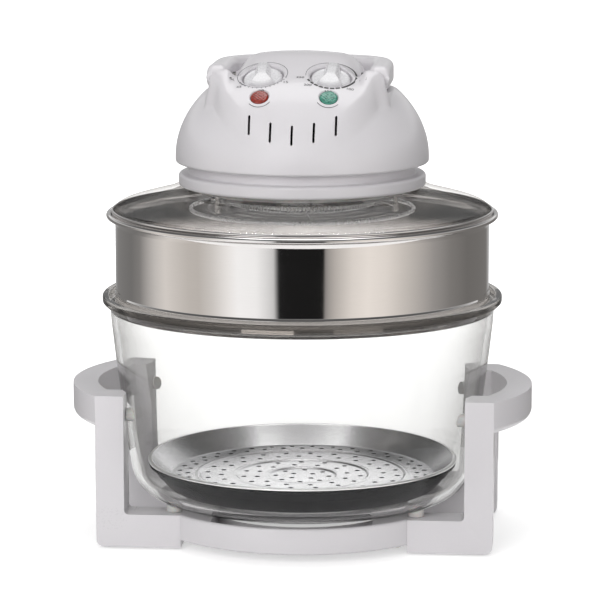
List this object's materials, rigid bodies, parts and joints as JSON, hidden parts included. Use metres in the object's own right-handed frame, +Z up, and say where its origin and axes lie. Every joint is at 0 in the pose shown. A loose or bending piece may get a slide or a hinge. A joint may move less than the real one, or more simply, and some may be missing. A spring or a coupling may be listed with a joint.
{
  "type": "halogen oven",
  "caption": "Countertop halogen oven: a clear glass bowl in a two-handled plastic base, a steel extension ring and a glass lid that carries the heater head, dials and folding handle.",
  "frame": {"origin": "on the table under the middle of the bowl, at the bottom of the four rubber feet", "axes": "+Z up, -Y towards the front with the two dials, +X towards the viewer's right when the front is faced"},
  "size_m": [0.386, 0.3344, 0.4064],
  "materials": {
    "housing": "satin white with a faint lilac cast",
    "knob": "satin white",
    "clear_glass": "clear polished",
    "polished_steel": "polished stainless",
    "bright_sheet": "bright satin",
    "dark_pan": "dark enamel",
    "foot_rubber": "matte",
    "pale_silicone": "matte, pale",
    "white_ceramic": "unglazed",
    "tube_glass": "clear quartz",
    "black_plastic": "matte",
    "core_steel": "varnished steel sheet",
    "copper_coil": "varnished copper wire",
    "red_lens": "clear red",
    "green_lens": "clear green"
  },
  "bodies": {
    "base": {"base_ring": "housing", "left_side_frame": "housing", "right_side_frame": "housing", "rubber_foot_front_left": "foot_rubber", "rubber_foot_front_right": "foot_rubber", "rubber_foot_rear_left": "foot_rubber", "rubber_foot_rear_right": "foot_rubber", "bowl_pad_front_left": "pale_silicone", "bowl_pad_front_right": "pale_silicone", "bowl_pad_rear_left": "pale_silicone", "bowl_pad_rear_right": "pale_silicone", "post_bumper_front_left": "pale_silicone", "post_bumper_front_right": "pale_silicone", "post_bumper_rear_left": "pale_silicone", "post_bumper_rear_right": "pale_silicone", "frame_screw_front_left": "polished_steel", "frame_screw_front_right": "polished_steel", "frame_screw_rear_left": "polished_steel", "frame_screw_rear_right": "polished_steel"},
    "bowl": {"glass_bowl": "clear_glass"},
    "ring": {"extension_ring": "polished_steel"},
    "pan": {"drip_pan": "dark_pan"},
    "tray": {"perforated_tray": "bright_sheet"},
    "lid": {"lid_glass": "clear_glass", "lid_band": "polished_steel", "lid_gasket": "pale_silicone", "heat_shield": "polished_steel", "reflector": "bright_sheet", "halogen_tube": "tube_glass", "tube_holder_left": "white_ceramic", "tube_holder_right": "white_ceramic", "thermostat_bulb": "polished_steel", "guard_ring": "polished_steel", "guard_post_1": "polished_steel", "guard_post_2": "polished_steel", "guard_post_3": "polished_steel", "lower_housing": "housing", "upper_housing": "housing", "handle_pin_left": "polished_steel", "handle_pin_right": "polished_steel", "timer_body": "polished_steel", "thermostat_body": "polished_steel", "power_lamp": "red_lens", "heat_lamp": "green_lens", "safety_switch": "black_plastic", "terminal_block": "black_plastic", "cord_gland": "black_plastic", "motor_bracket": "polished_steel", "motor_stator": "core_steel", "motor_coil": "copper_coil", "bearing_plate": "polished_steel"},
    "handle": {"carrying_handle": "housing"},
    "timer_dial": {"timer_knob": "knob"},
    "thermostat_dial": {"thermostat_knob": "knob"},
    "fans": {"motor_shaft": "polished_steel", "motor_rotor": "core_steel", "hot_air_fan": "bright_sheet", "cooling_fan": "polished_steel"},
    "plunger": {"switch_plunger": "red_lens"}
  },
  "joints": [
    {"name": "bowl_lift", "type": "slide", "parent": "base", "child": "bowl", "axis": [0, 0, 1], "range_m": [0, 0.18]},
    {"name": "ring_lift", "type": "slide", "parent": "bowl", "child": "ring", "axis": [0, 0, 1], "range_m": [0, 0.1]},
    {"name": "lid_lift", "type": "slide", "parent": "ring", "child": "lid", "axis": [0, 0, 1], "range_m": [0, 0.12]},
    {"name": "pan_lift", "type": "slide", "parent": "bowl", "child": "pan", "axis": [0, 0, 1], "range_m": [0, 0.15]},
    {"name": "tray_lift", "type": "slide", "parent": "pan", "child": "tray", "axis": [0, 0, 1], "range_m": [0, 0.05]},
    {"name": "handle_fold", "type": "hinge", "parent": "lid", "child": "handle", "pos_m": [0, -0.034, 0.38705], "axis": [1, 0, 0], "range_deg": [0, 90]},
    {"name": "timer_turn", "type": "hinge", "parent": "lid", "child": "timer_dial", "pos_m": [-0.02801, -0.051, 0.39046], "axis": [0.0796, 0.4067, -0.9101], "range_deg": [0, 300]},
    {"name": "thermostat_turn", "type": "hinge", "parent": "lid", "child": "thermostat_dial", "pos_m": [0.02801, -0.051, 0.39046], "axis": [-0.0796, 0.4067, -0.9101], "range_deg": [0, 270]},
    {"name": "fan_spin", "type": "hinge", "parent": "lid", "child": "fans", "pos_m": [0, 0, 0.3202], "axis": [0, 0, 1], "continuous": true},
    {"name": "plunger_press", "type": "slide", "parent": "lid", "child": "plunger", "axis": [0, 0, 1], "range_m": [0, 0.0012]}
  ],
  "couplings": [
    {"joint": "plunger_press", "follows": "handle_fold", "m_per_rad": 0.00076}
  ]
}
